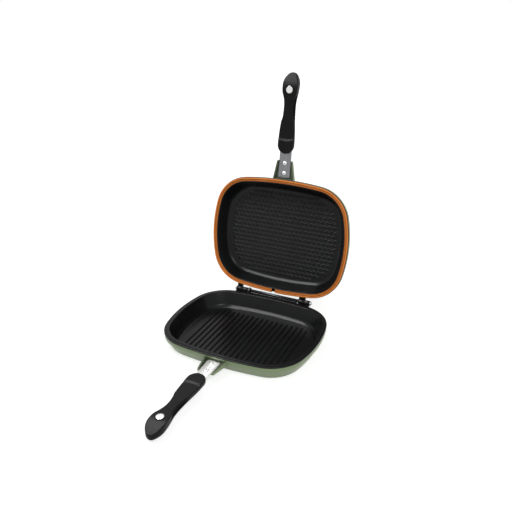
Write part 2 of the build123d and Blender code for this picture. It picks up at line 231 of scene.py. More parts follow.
# Points on half a section: flat of the face, its edge, the back's round and the crown of the back.
FACE_POINTS = 8
EDGE_POINTS = 5
BACK_POINTS = 8
CROWN_POINTS = 5
# Sections along the grip: both ends, the hood's slope and the run between.
END_STEPS = 12
SLOPE_LEAD = 2.0
SLOPE_STEP = 0.5
SLOPE_COUNT = 22
MIDDLE_STEPS = 44
TIP_STEPS = 18
# The matt hollow with painted shade: its edge as a share of the face's round, and how far it runs below the
# hollow.
HOLLOW_SHADE_EDGE = 0.4
HOLLOW_SHADE_BELOW = 0.5

# Magnet and the cup that holds it, measured from the cup's lip.
MAGNET_PLACE = 130.0
MAGNET_FACE = -0.9
MAGNET_SEAT = -2.1
MAGNET_SINK = 0.2
MAGNET_EDGE = 0.25
MAGNET_RINGS = (2, 4)
MAGNET_GAP = 0.05
CUP_RADIUS = 8.2
CUP_WALL = 1.1
CUP_FOOT = -5.8
CUP_FLOOR = -1.2
CUP_LEDGE = 1
CUP_ROUNDS = (0.45, 0.3)

# Working margins: a hair's breadth, what counts as the same place, and how far a cutter runs past a face.
HAIR = 0.02
NEAR = 0.1
OVERCUT = 1.0
CUTTER_REACH = 5.0
MERGE_GAP = 0.01
CAD_MERGE_GAP = 0.002
ROUND_STEPS = 48
FOOT_INSET = 0.4
# Steps along a round of a path: rounds wider than this get the second number.
WIDE_ROUND = 2.0
PATH_STEPS = (3, 7)
# Angles, in degrees: faces this flat are one, and edges sharper than the others are broken or shaded sharp.
FLAT_ANGLE = 0.5
BROKEN_EDGE_ANGLE = 25.0
SHARP = 30.0
SEAL_SHARP = 35.0
SOFT_SHARP = 40.0
WAVE_SHARP = 50.0

# Places of the two halves in the object's frame: the pan flat, the lid swung open.
PAN_PLACE = Matrix.Translation((0, 0, DEPTH * MM))
AXIS = Vector((0, HINGE_Y, DEPTH + PARTING)) * MM
LID_SWING = (Matrix.Translation(AXIS) @ Matrix.Rotation(radians(-OPEN_ANGLE), 4, "X")
             @ Matrix.Translation(-AXIS))
LID_PLACE = (LID_SWING @ Matrix.Translation((0, 0, (DEPTH + RIM_GAP) * MM))
             @ Matrix.Rotation(pi, 4, "Y"))
PLACES = {"pan": PAN_PLACE, "lid": LID_PLACE}


# ------------------------------------------------------------------ colours and node trees
def linear(hex_colour):
    """sRGB hex to the linear RGBA that sockets expect."""
    channels = [int(hex_colour[i:i + 2], 16) / 255 for i in (1, 3, 5)]
    return [c / 12.92 if c <= 0.04045 else ((c + 0.055) / 1.055) ** 2.4 for c in channels] + [1.0]


def node(tree, kind, links=None, values=None, **settings):
    """Adds one node: links and values go to sockets by name or number, settings to the node."""
    item = tree.nodes.new(kind)
    for key, value in settings.items():
        setattr(item, key, value)
    for socket, value in (values or {}).items():
        item.inputs[socket].default_value = value
    for socket, source in (links or {}).items():
        tree.links.new(source, item.inputs[socket])
    return item


def new_material(name):
    """Material with an empty node tree."""
    material = bpy.data.materials.new(name)
    material.use_nodes = True
    material.node_tree.nodes.clear()
    return material, material.node_tree


# Detail of the noise for patches and for grain, its usual middle range, and how firm the bump is.
PATCH_DETAIL = 4.0
GRAIN_DETAIL = 2.0
NOISE_RANGE = (0.3, 0.7)
BUMP_STRENGTH = 0.5


def mottle(tree, size_mm, detail, turn):
    """Noise on the piece's own place, with features of the given sizes along x, y and z."""
    place = node(tree, "ShaderNodeTexCoord")
    mapping = node(tree, "ShaderNodeMapping", {"Vector": place.outputs["Object"]},
                   {"Scale": [size * MM for size in size_mm], "Rotation": (turn, 0, 0)},
                   vector_type="TEXTURE")
    noise = node(tree, "ShaderNodeTexNoise", {"Vector": mapping.outputs[0]},
                 {"Scale": 1.0, "Detail": detail})
    return noise.outputs[0]


def spread(tree, source, low, high):
    """Spreads a noise's usual middle range over low to high."""
    return node(tree, "ShaderNodeMapRange", {"Value": source},
                {"From Min": NOISE_RANGE[0], "From Max": NOISE_RANGE[1],
                 "To Min": low, "To Max": high}).outputs[0]


def tint(tree, factor, first, second):
    """Mixes two close tones."""
    mix = node(tree, "ShaderNodeMix", {0: factor}, {6: linear(first), 7: linear(second)}, data_type="RGBA")
    return mix.outputs[2]


def finish(name, tones, roughness, patch_mm, grain_mm, grain_height, turn=0.0, **sockets):
    """A surface of two close tones, with uneven gloss and a fine grain; sockets set the rest."""
    material, tree = new_material(name)
    patches = spread(tree, mottle(tree, patch_mm, PATCH_DETAIL, turn), 0.0, 1.0)
    fine = mottle(tree, grain_mm, GRAIN_DETAIL, turn)
    bump = node(tree, "ShaderNodeBump", {"Height": fine},
                {"Strength": BUMP_STRENGTH, "Distance": grain_height * MM})
    shader = node(tree, "ShaderNodeBsdfPrincipled", {
        "Base Color": tint(tree, patches, *tones),
        "Roughness": spread(tree, fine, *roughness),
        "Normal": bump.outputs[0]}, {key.replace("_", " "): value for key, value in sockets.items()})
    node(tree, "ShaderNodeOutputMaterial", {"Surface": shader.outputs[0]})
    return material


def even(size):
    """The same feature size along all three axes."""
    return (size, size, size)


# Finishes. Feature sizes are real ones in millimetres, drawn coarser where they would be too fine to
# show: the coats' texture, the moulded grain and the brushing lines. LEAN turns the lid's brushing with it.
LEAN = radians(-OPEN_ANGLE)

# Sprayed and baked enamel on cast aluminium: even sage green, soft gloss, faint orange peel.
sage_enamel = finish("baked_enamel", ("#7f9269", "#869970"), (0.3, 0.42), even(40), even(1.5), 0.025, IOR=1.5)
# Sprayed and cured PTFE coating: near black, half matt, lightly cloudy, with a fine texture.
ptfe_coat = finish("ptfe_coating", ("#0e0f10", "#131415"), (0.22, 0.3), even(45), even(1.1), 0.02, IOR=1.25)
# Enamel painted a dark, dull green inside the brackets: painted shade in the channel and on the ears.
shade_painted_enamel = finish("enamel_painted_shade", ("#353f2c", "#465339"), (0.4, 0.52), even(7), even(1.3), 0.02,
                        IOR=1.4)
# Moulded silicone rubber: dense orange, satin, slightly chalky in patches.
orange_silicone = finish("moulded_silicone", ("#df7c28", "#e58835"), (0.42, 0.55), even(14), even(0.9),
                         0.01, IOR=1.41)
# The same silicone at the foot of the seal's grooves, painted dark as painted shade.
painted_shade_silicone = finish("silicone_groove_painted_shade", ("#5a3219", "#6a3d20"), (0.55, 0.65), even(9), even(0.9),
                         0.01, IOR=1.3)
# Compression-moulded phenolic: charcoal black with a dull sheen and a fine moulded grain.
black_phenolic = finish("moulded_phenolic", ("#111112", "#161617"), (0.28, 0.36), even(22), even(0.9),
                        0.03, IOR=1.18)
# The same phenolic, rougher, and painted darker as painted shade: matt black in the flank hollows.
matt_phenolic_painted_shade = finish("phenolic_hollow_painted_shade", ("#08080a", "#0c0c0d"), (0.55, 0.65), even(10), even(0.7),
                       0.03, IOR=1.2)
# Injection-moulded nylon: plain black, satin.
black_nylon = finish("moulded_nylon", ("#141415", "#1b1b1c"), (0.38, 0.5), even(8), even(0.8), 0.01, IOR=1.53)
# Brushed stainless strip: pale, with fine lines along its length.
pan_stainless = finish("brushed_stainless_pan", ("#d2d2d0", "#dcdcda"), (0.44, 0.52), (1.2, 60, 1.2),
                       (0.5, 30, 0.5), 0.004, Metallic=1.0)
# The lid's copy is the same steel painted darker: a painted reflection of the grey it mirrors.
lid_stainless_painted_shade = finish("brushed_stainless_lid_painted_shade", ("#747577", "#7e7f81"), (0.28, 0.34), (1.2, 60, 1.2),
                       (0.5, 30, 0.5), 0.004, LEAN, Metallic=1.0)
# Zinc-plated screw: bright, faintly clouded by the plating bath.
zinc_plate = finish("zinc_plating", ("#d6d8d8", "#e8eaea"), (0.34, 0.44), even(3), even(0.6), 0.008,
                    Metallic=1.0)
# The same plating inside the cross recess, painted dull and dark as painted shade.
zinc_recess_painted_shade = finish("zinc_plating_recess_painted_shade", ("#2a2b2c", "#363738"), (0.45, 0.6), even(2), even(0.6), 0.008,
                     Metallic=1.0)
# Nickel-plated magnet: bright, soft-edged reflections.
nickel_plate = finish("nickel_plating", ("#d2d1cf", "#dedddb"), (0.2, 0.28), even(6), even(0.7), 0.004,
                      Metallic=1.0)
# Nickel-plated pressed cup: duller than the magnet, its tone painted dark as painted shade, a dark ring round
# it.
nickel_painted_shade = finish("nickel_plating_painted_shade", ("#2c2d2f", "#38393b"), (0.3, 0.42), even(5), even(0.7), 0.008,
                     Metallic=1.0)
# Polished steel tube, its tone painted dark as a painted reflection of dark surroundings: dark mirror with a
# bright line along it.
dark_painted_tube_steel = finish("polished_steel_painted_dark_reflection", ("#232427", "#2a2b2e"), (0.15, 0.17), (60, 20, 20), (40, 9, 9),
                      0.0005, Metallic=1.0)
# Turned steel pin and clips: grey, with fine rings from the tool.
turned_steel = finish("turned_steel", ("#85878a", "#a3a5a8"), (0.22, 0.36), (1.5, 8, 8), (0.4, 5, 5), 0.01,
                      Metallic=1.0)


# ------------------------------------------------------------------ modelling by hand, in code
def start(add, name, **settings):
    """Adds a primitive with nothing else selected and names it."""
    bpy.ops.object.select_all(action="DESELECT")
    add(**settings)
    piece = bpy.context.object
    piece.name = piece.data.name = name
    return piece


def only(piece):
    """Makes a piece the one selected and active object."""
    bpy.ops.object.select_all(action="DESELECT")
    piece.select_set(True)
    bpy.context.view_layer.objects.active = piece
    return piece


def edit(piece, kind="VERT", chosen=None):
    """Enters edit mode with the elements selected whose centre, in millimetres, is chosen."""
    only(piece)
    bpy.ops.object.mode_set(mode="EDIT")
    bpy.ops.mesh.select_mode(type=kind)
    bpy.ops.mesh.select_all(action="DESELECT" if chosen else "SELECT")
    if not chosen:
        return
    bpy.ops.object.mode_set(mode="OBJECT")
    mesh = piece.data
    for element in {"VERT": mesh.vertices, "EDGE": mesh.edges, "FACE": mesh.polygons}[kind]:
        corners = [element.index] if kind == "VERT" else element.vertices
        element.select = bool(chosen([mesh.vertices[i].co / MM for i in corners]))
    bpy.ops.object.mode_set(mode="EDIT")


def leave():
    """Goes back to object mode."""
    bpy.ops.object.mode_set(mode="OBJECT")


def settle(piece, place=None):
    """Puts a piece's place into its mesh, after an optional move."""
    only(piece)
    if place is not None:
        piece.matrix_world = place @ piece.matrix_world
    bpy.ops.object.transform_apply(location=True, rotation=True, scale=True)
    return piece


def modify(piece, kind, **settings):
    """Adds one modifier and applies it."""
    only(piece)
    modifier = piece.modifiers.new(kind, kind)
    for key, value in settings.items():
        setattr(modifier, key, value)
    bpy.ops.object.modifier_apply(modifier=modifier.name)
    return piece


def round_edges(piece, width_mm, segments=2, angle=SHARP):
    """Rounds every edge sharper than an angle."""
    return modify(piece, "BEVEL", width=width_mm * MM, segments=segments, limit_method="ANGLE",
                  angle_limit=radians(angle), harden_normals=False)


def cut(piece, tool):
    """Cuts a tool's shape out of a piece; the tool is used up."""
    modify(piece, "BOOLEAN", operation="DIFFERENCE", object=tool, solver="EXACT")
    bpy.data.objects.remove(tool)
    return piece


def weld(piece, other):
    """Unites two closed shapes; the second is used up."""
    modify(piece, "BOOLEAN", operation="UNION", object=other, solver="EXACT")
    bpy.data.objects.remove(other)
    return piece


def join(pieces, name):
    """One object from several, each keeping its own closed shape."""
    only(pieces[0])
    for piece in pieces[1:]:
        piece.select_set(True)
    bpy.ops.object.join()
    pieces[0].name = pieces[0].data.name = name
    return pieces[0]


def copied(piece):
    """A copy with its own mesh."""
    twin = piece.copy()
    twin.data = piece.data.copy()
    bpy.context.scene.collection.objects.link(twin)
    return twin


def close_seams(piece):
    """Merges doubled points and turns the faces outwards."""
    edit(piece)
    bpy.ops.mesh.remove_doubles(threshold=MERGE_GAP * MM)
    bpy.ops.mesh.normals_make_consistent(inside=False)
    leave()
    return piece


def smooth(piece, angle=SHARP):
    """Closes the seams and shades by angle."""
    only(close_seams(piece))
    bpy.ops.object.shade_smooth_by_angle(angle=radians(angle))
    return piece


def dress(piece, *materials, on=0):
    """Gives a piece its materials, all faces on one of them."""
    piece.data.materials.clear()
    for material in materials:
        piece.data.materials.append(material)
    for face in piece.data.polygons:
        face.material_index = on
    return piece


def mount(piece, body, slot, *replaced):
    """Rides a finished piece on its body, in place of its solids."""
    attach(piece, body)
    if replaced:
        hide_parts(*replaced)


def disc(name, points, z):
    """Flat face through plan points, from a circle moved onto them."""
    face = start(bpy.ops.mesh.primitive_circle_add, name, vertices=len(points), radius=HALF_WIDTH * MM,
                 fill_type="NGON")
    for vertex, (x, y) in zip(face.data.vertices, points):
        vertex.co = Vector((x, y, z)) * MM
    return face


def slab(name, first, second):
    """Closed block between two outlines of equal length, from a circle that is extruded."""
    block = start(bpy.ops.mesh.primitive_circle_add, name, vertices=len(first), radius=HALF_WIDTH * MM,
                  fill_type="NGON")
    for vertex, place in zip(block.data.vertices, first):
        vertex.co = Vector(place) * MM
    edit(block)
    bpy.ops.mesh.extrude_region_move()
    leave()
    for vertex, place in zip(block.data.vertices[len(first):], second):
        vertex.co = Vector(place) * MM
    edit(block)
    bpy.ops.mesh.normals_make_consistent(inside=False)
    leave()
    return block


def follow(piece, path, upward):
    """Insets a flat face ring by ring along a path of (inset, height, material) stations."""
    edit(piece, "FACE")
    bpy.ops.mesh.normals_make_consistent(inside=False)
    leave()
    if (piece.data.polygons[0].normal.z > 0) != upward:
        edit(piece, "FACE")
        bpy.ops.mesh.flip_normals()
        leave()
    edit(piece, "FACE")
    sign = 1 if upward else -1
    for (inset, z, slot), (next_inset, next_z, _) in zip(path, path[1:]):
        piece.active_material_index = slot
        bpy.ops.object.material_slot_assign()
        bpy.ops.mesh.inset(thickness=(next_inset - inset) * MM, depth=sign * (next_z - z) * MM)
    piece.active_material_index = path[-1][2]
    bpy.ops.object.material_slot_assign()
    leave()
    return piece


def arc_path(corner, before, after, radius, slot):
    """Stations round one corner of a path, from the line before it to the line after it."""
    corner, before, after = Vector(corner), Vector(before), Vector(after)
    to_before = (before - corner).normalized()
    to_after = (after - corner).normalized()
    half = to_before.angle(to_after) / 2
    first = corner + to_before * radius / tan(half)
    last = corner + to_after * radius / tan(half)
    centre = corner + (to_before + to_after).normalized() * radius / sin(half)
    begin = atan2(first.y - centre.y, first.x - centre.x)
    sweep = atan2(last.y - centre.y, last.x - centre.x) - begin
    sweep = (sweep + pi) % (2 * pi) - pi
    steps = PATH_STEPS[1] if radius > WIDE_ROUND else PATH_STEPS[0]
    angles = [begin + sweep * i / steps for i in range(steps + 1)]
    return [(centre.x + radius * cos(a), centre.y + radius * sin(a), slot) for a in angles]


def rounded_path(stations):
    """Path of (inset, height, material) from stations that may add a corner radius."""
    path = [stations[0][:3]]
    for before, here, after in zip(stations, stations[1:], stations[2:]):
        if len(here) > 3:
            path += arc_path(here[:2], before[:2], after[:2], here[3], here[2])
        else:
            path.append(here)
    return path + [stations[-1][:3]]


def tube(name, rings):
    """Skin through rings of equal length, from an open cylinder cut into as many rings."""
    count = len(rings[0])
    skin = start(bpy.ops.mesh.primitive_cylinder_add, name, vertices=count, radius=1.0, depth=2.0,
                 end_fill_type="NOTHING")
    edit(skin, "EDGE", lambda ends: abs(ends[0].z - ends[1].z) > 1)
    bpy.ops.mesh.subdivide(number_cuts=len(rings) - 2)
    leave()
    for vertex in skin.data.vertices:
        level = round((vertex.co.z + 1) / 2 * (len(rings) - 1))
        turn = round(atan2(vertex.co.x, vertex.co.y) / (2 * pi) * count) % count
        vertex.co = Vector(rings[level][turn]) * MM
    return skin


# ------------------------------------------------------------------ the outline of a half
def corner_centre():
    """Centre of the corner arc that touches the front arc and the side arc."""
    front_y, side_x = HALF_DEPTH - FRONT_ARC, HALF_WIDTH - SIDE_ARC
    front_reach, side_reach = FRONT_ARC - CORNER_ARC, SIDE_ARC - CORNER_ARC
    gap = hypot(side_x, front_y)
    ux, uy = side_x / gap, -front_y / gap
    along = (front_reach**2 - side_reach**2 + gap**2) / (2 * gap)
    across = sqrt(front_reach**2 - along**2)
    return along * ux + across * uy, front_y + along * uy - across * ux


CORNER_X, CORNER_Y = corner_centre()


def outline(inset):
    """Plan points round a half, anticlockwise from its right side."""
    side_end = asin(CORNER_Y / (SIDE_ARC - CORNER_ARC))
    front_start = pi / 2 - asin(CORNER_X / (FRONT_ARC - CORNER_ARC))
    arcs = ((HALF_WIDTH - SIDE_ARC, 0.0, SIDE_ARC, 0.0, side_end),
            (CORNER_X, CORNER_Y, CORNER_ARC, side_end, front_start),
            (0.0, HALF_DEPTH - FRONT_ARC, FRONT_ARC, front_start, pi / 2))
    quarter = []
    for (x, y, radius, first, last), steps in zip(arcs, ARC_STEPS):
        for i in range(steps):
            angle = first + (last - first) * i / steps
            quarter.append((x + (radius - inset) * cos(angle), y + (radius - inset) * sin(angle)))
    half = quarter + [(0.0, HALF_DEPTH - inset)] + [(-x, y) for x, y in reversed(quarter[1:])]
    return half + [(-x, -y) for x, y in half]


def edge_y(x, inset=0.0):
    """Depth of the outline, moved inwards by inset, at width x."""
    if abs(x) <= CORNER_X * FRONT_ARC / (FRONT_ARC - CORNER_ARC):
        return HALF_DEPTH - FRONT_ARC + sqrt((FRONT_ARC - inset)**2 - x**2)
    return CORNER_Y + sqrt(max((CORNER_ARC - inset)**2 - (abs(x) - CORNER_X)**2, 0.0))


def edge_x(y, inset=0.0):
    """Width of the outline, moved inwards by inset, at depth y."""
    if abs(y) <= CORNER_Y * SIDE_ARC / (SIDE_ARC - CORNER_ARC):
        return HALF_WIDTH - SIDE_ARC + sqrt((SIDE_ARC - inset)**2 - y**2)
    return CORNER_X + sqrt(max((CORNER_ARC - inset)**2 - (abs(y) - CORNER_Y)**2, 0.0))


# ------------------------------------------------------------------ castings
# The third skin is enamel with painted shade, used inside the brackets.
COAT, ENAMEL, SHADE_PAINTED = 0, 1, 2
SKINS = (ptfe_coat, sage_enamel, shade_painted_enamel)
BASE_INSET = WALL_INSET + (DEPTH - BAND) * tan(radians(WALL_DRAFT))
FLOOR_INSET = RIM_WIDTH - FLOOR * tan(radians(INNER_DRAFT))
FLAT_INSET = FLOOR_INSET + INNER_ROUND * tan(radians((90 - INNER_DRAFT) / 2)) + PATTERN_MARGIN

# The pan's rim: outer ledge, fine groove, raised band. The lid's rim: wall, seal channel, inner land.
PAN_RIM = [(4.4, 0.0, COAT, 0.2), (4.7, -0.3, COAT), (5.1, -0.3, COAT), (5.6, RAISED_BAND, COAT, 0.4),
           (RIM_WIDTH, RAISED_BAND, COAT, 1.0)]
LID_RIM = [(CHANNEL[0], 0.0, COAT, 0.1), (CHANNEL[0], CHANNEL[2], COAT), (CHANNEL[1], CHANNEL[2], COAT),
           (CHANNEL[1], 0.0, COAT, 0.25), (RIM_WIDTH, 0.0, COAT, 0.8)]


def bowl(name, rim):
    """Casting without its lugs: an outer and an inner skin that meet at the widest outline."""
    outer = dress(disc(name, outline(0.0), -RIM_ROUND), *SKINS)
    follow(outer, rounded_path([
        (0.0, -RIM_ROUND, COAT), (COAT_LEAN, -COAT_EDGE, ENAMEL), (BAND_LEAN, -BAND, ENAMEL, BAND_ROUND),
        (WALL_INSET, -BAND, ENAMEL, SHOULDER_ROUND), (BASE_INSET, -DEPTH, ENAMEL, BASE_ROUND),
        (CENTRE_INSET, -DEPTH, ENAMEL)]), False)
    inner = dress(disc("inside", outline(0.0), -RIM_ROUND), *SKINS)
    follow(inner, rounded_path(
        [(0.0, -RIM_ROUND, COAT), (0.0, 0.0, COAT, RIM_ROUND - HAIR)] + rim
        + [(FLOOR_INSET, FLOOR, COAT, INNER_ROUND), (CENTRE_INSET, FLOOR, COAT)]), True)
    return close_seams(join([outer, inner], name))


def bracket():
    """Channel at the front that holds the stay: a floor and two tapering ears."""
    back_y, tip_y = -HALF_DEPTH, -HALF_DEPTH - BRACKET_REACH
    root_y = back_y + BRACKET_SINK
    side = [(BRACKET_ROOT, root_y, EAR_ROOT_TOP), (BRACKET_ROOT, root_y, BRACKET_LOW),
            (BRACKET_ROOT, back_y, BRACKET_LOW), (BRACKET_TIP, tip_y, BRACKET_TIP_LOW),
            (BRACKET_TIP, tip_y, EAR_TIP_TOP), (BRACKET_ROOT, back_y - EAR_LEVEL, EAR_ROOT_TOP)]
    block = slab("bracket", side, [(-x, y, z) for x, y, z in side])
    edit(block, "EDGE", lambda ends: all(p.y < tip_y + NEAR for p in ends) and abs(ends[0].z - ends[1].z) > 1)
    bpy.ops.mesh.bevel(offset=EAR * EAR_TIP_ROUND * MM, segments=3, affect="EDGES")
    leave()
    root, tip = BRACKET_ROOT - EAR, STAY_HALF_WIDTH + STAY_SIDE_GAP
    start_y, end_y = back_y - CHANNEL_SKIN, tip_y - OVERCUT
    plan = [(-root, start_y), (root, start_y), (tip, end_y), (-tip, end_y)]
    channel = slab("channel", [(x, y, -BAND) for x, y in plan], [(x, y, CUTTER_REACH) for x, y in plan])
    arms = dress(round_edges(cut(block, channel), BRACKET_EDGE, 3), *SKINS, on=ENAMEL)
    # Faces in the channel, on the ears' tops and facing the stay get the enamel with painted shade.
    for face in arms.data.polygons:
        if painted_shade_face(face.center / MM, face.normal, start_y, tip_y):
            face.material_index = SHADE_PAINTED
    return arms


def painted_shade_face(centre, normal, start_y, tip_y):
    """Whether a face of the bracket gets painted shade: its tops, the faces towards the stay and the back
    wall between the ears.
    """
    on_top = normal.z > SHADE_UP and centre.y > tip_y + EAR_LEVEL
    faces_stay = abs(centre.x) < BRACKET_ROOT - EAR_LEVEL and normal.x * centre.x < -SHADE_INWARD
    behind = centre.y > start_y - NEAR and normal.y < -SHADE_BACK and abs(centre.x) < BRACKET_ROOT - EAR
    return on_top or behind or (faces_stay and centre.z > -BAND)


def knuckle(x_start, x_end):
    """Round knuckle and its arm, from one outline extruded along the hinge axis."""
    top = pi + asin(PARTING / KNUCKLE_RADIUS)
    turns = [top - (top + pi / 2) * i / KNUCKLE_STEPS for i in range(KNUCKLE_STEPS + 1)]

    def profile(x):
        wall = edge_y(x)
        ring = [(HINGE_Y + KNUCKLE_RADIUS * cos(t), PARTING + KNUCKLE_RADIUS * sin(t)) for t in turns]
        arm = [(wall - WALL_INSET, ARM_FOOT - BAND), (wall - KNUCKLE_ROOT, ARM_FOOT - BAND),
               (wall - KNUCKLE_ROOT, ARM_SHELF), (wall - ARM_SINK, ARM_SHELF), (wall - ARM_SINK, ARM_TOP)]
        return [(x, y, z) for y, z in ring + arm]

    body = slab("knuckle", profile(x_start), profile(x_end))
    edit(body, "EDGE", lambda ends: abs(ends[0].x - ends[1].x) < NEAR)
    bpy.ops.mesh.bevel(offset=KNUCKLE_EDGE * MM, segments=2, affect="EDGES")
    leave()
    bore = start(bpy.ops.mesh.primitive_cylinder_add, "bore", vertices=BORE_STEPS, radius=PIN_BORE * MM,
                 depth=BORE_LENGTH * MM, rotation=(0, pi / 2, 0),
                 location=((x_start + x_end) / 2 * MM, HINGE_Y * MM, PARTING * MM))
    return dress(cut(body, settle(bore)), *SKINS)


def stop_lug(x_start, x_end):
    """Lug under a lid knuckle that meets the pan's rear band when the lid is open."""
    def profile(x):
        wall = edge_y(x) + STOP_GAP
        return [(x, wall, STOP_TOP), (x, wall, STOP_LOW), (x, HINGE_Y - STOP_REACH, STOP_LOW),
                (x, HINGE_Y + STOP_REACH, PARTING - KNUCKLE_RADIUS),
                (x, HINGE_Y + STOP_REACH, PARTING - PIN_BORE - STOP_COVER)]

    lug = settle(slab("stop_lug", profile(x_start), profile(x_end)), PAN_PLACE)
    return dress(round_edges(lug, STOP_EDGE), *SKINS)


def rear_ledge():
    """Ledge of the pan's rear band that closes the gap under the hinge tube."""
    places = [-LEDGE_REACH + 2 * LEDGE_REACH * i / LEDGE_STEPS for i in range(LEDGE_STEPS + 1)]
    plan = [(x, edge_y(x) - LEDGE_SINK) for x in places] + [(x, LEDGE_BACK) for x in reversed(places)]
    ledge = slab("ledge", [(x, y, LEDGE_LOW) for x, y in plan], [(x, y, LEDGE_TOP) for x, y in plan])
    return dress(round_edges(ledge, LEDGE_EDGE), *SKINS)


def knuckle_spans():
    """The two stretches of the hinge axis that belong to a half, in its own frame."""
    return (-INNER_KNUCKLE[1], -INNER_KNUCKLE[0]), OUTER_KNUCKLE


def pan_shell():
    """Lower casting with its bracket, ledge and knuckles, and a notch in the raised band."""
    body = weld(weld(bowl("pan_shell", PAN_RIM), bracket()), rear_ledge())
    for low, high in knuckle_spans():
        body = weld(body, knuckle(low, high))
    notch = start(bpy.ops.mesh.primitive_cube_add, "notch", size=1.0,
                  location=(0, (HALF_DEPTH - NOTCH_INSET) * MM, (NOTCH_FLOOR + NOTCH[2] / 2) * MM))
    notch.scale = [size * MM for size in NOTCH]
    dress(settle(notch), ptfe_coat)
    return smooth(settle(cut(body, notch), PAN_PLACE))


def vent_tool(half_width, low, high):
    """Slot with a round inner end, for the steam vent."""
    turns = [pi + pi * i / VENT_STEPS for i in range(VENT_STEPS + 1)]
    end_y = HALF_DEPTH - VENT_REACH + half_width
    plan = [(half_width * cos(t), end_y + half_width * sin(t)) for t in turns]
    plan += [(half_width, HALF_DEPTH + CUTTER_REACH), (-half_width, HALF_DEPTH + CUTTER_REACH)]
    tool = slab("vent", [(x, y, low) for x, y in plan], [(x, y, high) for x, y in plan])
    return dress(tool, ptfe_coat)


def lid_shell():
    """Upper casting with its bracket, vent, knuckles and stop lugs."""
    body = weld(bowl("lid_shell", LID_RIM), bracket())
    for low, high in knuckle_spans():
        body = weld(body, knuckle(low, high))
    body = settle(cut(body, vent_tool(VENT_HALF_WIDTH, -VENT_DEPTH, CUTTER_REACH)), LID_PLACE)
    for low, high in knuckle_spans():
        body = weld(body, stop_lug(-high, -low))
    return smooth(body)


def bar(name, length, base, top, height, round_mm):
    """Drafted bar along X, its foot sunk a little below the cooking face."""
    block = start(bpy.ops.mesh.primitive_cube_add, name, size=1.0,
                  location=(0, 0, (FLOOR + (height - SINK) / 2) * MM))
    block.scale = (length * MM, base * MM, (height + SINK) * MM)
    settle(block)
    edit(block, "FACE", lambda corners: min(p.z for p in corners) > FLOOR + height / 2)
    bpy.ops.transform.resize(value=((length - base + top) / length, top / base, 1))
    leave()
    edit(block, "EDGE", lambda ends: min(p.z for p in ends) > FLOOR + height / 2)
    bpy.ops.mesh.bevel(offset=round_mm * MM, segments=3, affect="EDGES")
    leave()
    return block


def stretch(rib, more):
    """Moves both ends of a copied rib out to a new half-length."""
    for vertex in rib.data.vertices:
        vertex.co.y += more * MM if vertex.co.y > 0 else -more * MM
    return rib


def pan_ribs():
    """Straight ribs from front to back, each cut short by the curve of the wall."""
    model = bar("rib", 2 * RIB_REACH, RIB_BASE, RIB_TOP, RIB_HEIGHT, RIB_EDGE)
    settle(model, Matrix.Rotation(pi / 2, 4, "Z"))
    rows = []
    for i in range(RIB_COUNT):
        x = (i - (RIB_COUNT - 1) / 2) * RIB_PITCH
        reach = min(RIB_REACH, edge_y(abs(x) + RIB_BASE / 2, FLAT_INSET))
        rib = stretch(copied(model), reach - RIB_REACH)
        rows.append(settle(rib, Matrix.Translation((x * MM, 0, 0))))
    bpy.data.objects.remove(model)
    ribs = dress(join(rows, "pan_ribs"), ptfe_coat)
    return smooth(settle(ribs, PAN_PLACE), SOFT_SHARP)


def lid_waves():
    """Rows of low waved ridges from side to side, neighbouring rows a half wave apart."""
    rows = []
    for i in range(WAVE_COUNT):
        y = (i - (WAVE_COUNT - 1) / 2) * WAVE_PITCH
        reach = edge_x(abs(y) + WAVE_BASE / 2 + WAVE_SWING / 2, FLAT_INSET)
        row = bar("wave", 2 * reach, WAVE_BASE, WAVE_TOP, WAVE_HEIGHT, WAVE_EDGE)
        edit(row, "EDGE", lambda ends: abs(ends[0].x - ends[1].x) > reach)
        bpy.ops.mesh.subdivide(number_cuts=round(2 * reach / WAVE_LENGTH * WAVE_STEPS))
        leave()
        side = WAVE_SWING / 2 if i % 2 else -WAVE_SWING / 2
        for vertex in row.data.vertices:
            vertex.co.y += (y + side * cos(2 * pi * vertex.co.x / (WAVE_LENGTH * MM))) * MM
        rows.append(row)
    waves = dress(join(rows, "lid_waves"), ptfe_coat)
    return smooth(settle(waves, LID_PLACE), WAVE_SHARP)


def lid_seal():
    """Moulded seal in the lid's channel: a tall lip, a ridge and a strip, with two grooves between."""
    first, last = SEAL
    lip, foot = first + SEAL_LIP_WIDTH, CHANNEL[2] + HAIR
    floor, ridge = SEAL_STRIP - SEAL_GROOVE, SEAL_STRIP + SEAL_RIDGE
    profile = [(first, foot, 0), (first, SEAL_LIP, 0, SEAL_LIP_ROUND), (lip, SEAL_LIP, 0, SEAL_LIP_ROUND)]
    # Stations on material 1 are the groove floors, painted dark as painted shade.
    profile += [(lip + inset, floor, 1) for inset in SEAL_GROOVES[0]]
    profile += [(lip + inset, ridge, 0, SEAL_RIDGE_ROUND) for inset in SEAL_RIDGE_SPAN]
    profile += [(lip + inset, floor, 1) for inset in SEAL_GROOVES[1]]
    profile += [(lip + SEAL_STRIP_START, SEAL_STRIP, 0, SEAL_STRIP_ROUNDS[0]),
                (last, SEAL_STRIP, 0, SEAL_STRIP_ROUNDS[1]), (last, foot, 0)]
    skins = []
    for path, upward in ((rounded_path(profile), True), ([(first, foot, 0), (last, foot, 0)], False)):
        skin = dress(disc("seal_skin", outline(first), foot), orange_silicone, painted_shade_silicone)
        follow(skin, path, upward)
        widest = max(len(face.vertices) for face in skin.data.polygons)
        edit(skin, "FACE", lambda corners: len(corners) == widest)
        bpy.ops.mesh.delete(type="FACE")
        leave()
        skins.append(skin)
    ring = close_seams(join(skins, "lid_seal_ring"))
    tool = dress(vent_tool(VENT_HALF_WIDTH + SEAL_VENT_GAP, -BAND, BAND), orange_silicone)
    return smooth(settle(cut(ring, tool), LID_PLACE), SEAL_SHARP)


